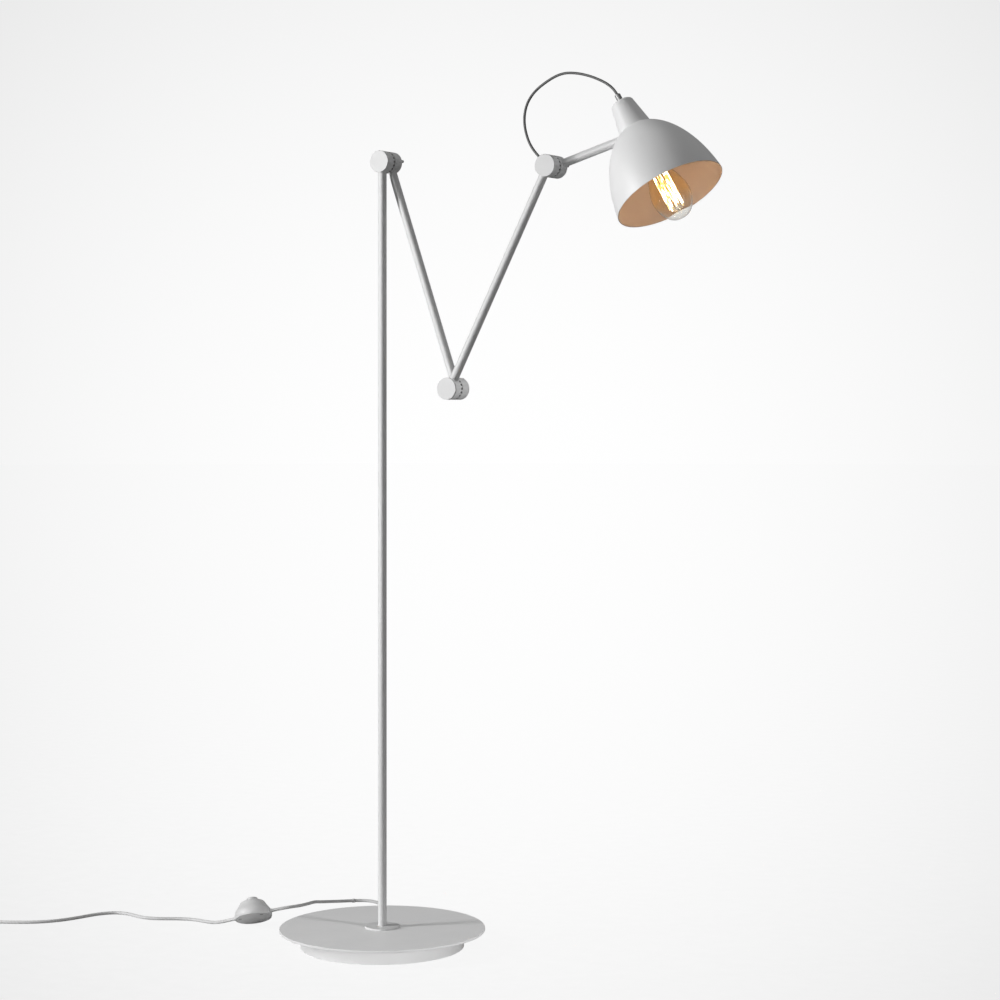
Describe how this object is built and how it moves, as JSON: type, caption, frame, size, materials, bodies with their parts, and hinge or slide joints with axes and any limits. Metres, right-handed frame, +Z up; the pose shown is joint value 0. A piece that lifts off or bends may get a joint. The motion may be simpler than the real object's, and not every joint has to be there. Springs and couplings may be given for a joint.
{
  "type": "adjustable arm floor lamp",
  "caption": "Floor lamp with a weighted round base, a pole, hinged arm tubes with clamping levers, a tilting metal shade round a clear bulb, and a mains cord with a foot switch.",
  "frame": {"origin": "centre of the base's underside, on the floor", "axes": "+Z up the pole; the arms swing in planes parallel to XZ and reach towards +X; each joint's plain cap faces -Y and its lever +Y"},
  "size_m": [1.4263, 0.5149, 1.4255],
  "materials": {
    "white_enamel": "smooth white powder coat",
    "disc_enamel": "fine-textured pale grey powder coat",
    "shade_enamel": "matt white outside, matt copper inside",
    "cast_iron": "rough cast",
    "floor_rubber": "matt",
    "steel": "turned, zinc plated",
    "nickel": "nickel plated",
    "white_plastic": "moulded, satin",
    "dark_plastic": "moulded, satin",
    "cord_cover": "soft PVC, satin",
    "loop_cover": "soft PVC, satin",
    "clear_glass": "clear, glossy",
    "filament": "glowing when lit",
    "contact_plastic": "moulded, matt",
    "spring_steel": "drawn wire"
  },
  "bodies": {
    "stand": {"floor_pad": "floor_rubber", "counterweight": "cast_iron", "plinth_cover": "white_enamel", "base_disc": "disc_enamel", "pole_flange": "white_enamel", "pole_fixing": "steel", "pole": "white_enamel", "pole_wire": "dark_plastic", "cord_gland": "white_plastic", "cord_base_run": "cord_cover", "cord_floor_run": "cord_cover", "cord_coil": "cord_cover", "plug_body": "white_plastic", "plug_pins": "nickel", "switch_cover": "white_plastic", "switch_plate": "dark_plastic", "switch_screws": "steel", "switch_grommets": "cord_cover", "switch_contact_block": "contact_plastic", "switch_spring": "spring_steel", "shoulder_front_barrel": "white_enamel", "shoulder_front_cap": "white_enamel", "shoulder_index_ring": "steel", "shoulder_pivot_nut": "steel"},
    "arm1": {"shoulder_rear_barrel": "white_enamel", "shoulder_rear_cap": "white_enamel", "arm1_tube": "white_enamel", "arm1_wire": "dark_plastic", "elbow_rear_barrel": "white_enamel", "elbow_rear_cap": "white_enamel"},
    "arm2": {"elbow_front_barrel": "white_enamel", "elbow_front_cap": "white_enamel", "elbow_index_ring": "steel", "elbow_pivot_nut": "steel", "arm2_tube": "white_enamel", "arm2_wire": "dark_plastic", "wrist_front_barrel": "white_enamel", "wrist_front_cap": "white_enamel", "wrist_index_ring": "steel", "wrist_pivot_nut": "steel", "wrist_cable_bush": "dark_plastic"},
    "arm3": {"wrist_rear_barrel": "white_enamel", "wrist_rear_cap": "white_enamel", "arm3_tube": "white_enamel", "swivel_collar": "steel", "loop_cable_lower": "loop_cover", "loop_cable_upper": "loop_cover"},
    "head": {"shade": "shade_enamel", "neck_cover": "white_enamel", "swivel_bush": "dark_plastic", "lampholder": "dark_plastic", "bulb_glass": "clear_glass", "bulb_cap": "nickel", "bulb_stem": "clear_glass", "bulb_filament": "filament", "cord_grip": "nickel"},
    "shoulder_lever": {"shoulder_lever": "steel"},
    "elbow_lever": {"elbow_lever": "steel"},
    "wrist_lever": {"wrist_lever": "steel"},
    "foot_button": {"switch_button": "white_plastic"}
  },
  "joints": [
    {"name": "shoulder", "type": "hinge", "parent": "stand", "child": "arm1", "pos_m": [0, 0, 1.298], "axis": [0, -1, 0], "range_deg": [-14, 90]},
    {"name": "elbow", "type": "hinge", "parent": "arm1", "child": "arm2", "pos_m": [0.13154, 0, 0.92237], "axis": [0, -1, 0], "range_deg": [-100, 35]},
    {"name": "wrist", "type": "hinge", "parent": "arm2", "child": "arm3", "pos_m": [0.31532, 0, 1.2754], "axis": [0, 1, 0], "range_deg": [-90, 60], "deforming": ["loop_cable_lower"]},
    {"name": "head_swivel", "type": "hinge", "parent": "arm3", "child": "head", "pos_m": [0.46553, 0.0215, 1.31932], "axis": [0.9598, 0, 0.2807], "range_deg": [-40, 40], "deforming": ["loop_cable_upper"]},
    {"name": "shoulder_lever", "type": "hinge", "parent": "stand", "child": "shoulder_lever", "pos_m": [0, 0.029, 1.298], "axis": [0, 1, 0], "range_deg": [0, 180]},
    {"name": "elbow_lever", "type": "hinge", "parent": "arm2", "child": "elbow_lever", "pos_m": [0.13154, 0.029, 0.92237], "axis": [0, 1, 0], "range_deg": [0, 180]},
    {"name": "wrist_lever", "type": "hinge", "parent": "arm2", "child": "wrist_lever", "pos_m": [0.31532, 0.029, 1.2754], "axis": [0, 1, 0], "range_deg": [0, 180]},
    {"name": "foot_button", "type": "slide", "parent": "stand", "child": "foot_button", "axis": [0.351, -0.3366, -0.8738], "range_m": [0, 0.0025], "stiffness_N_per_m": 800, "springref_m": -0.002, "deforming": ["switch_spring"]}
  ]
}
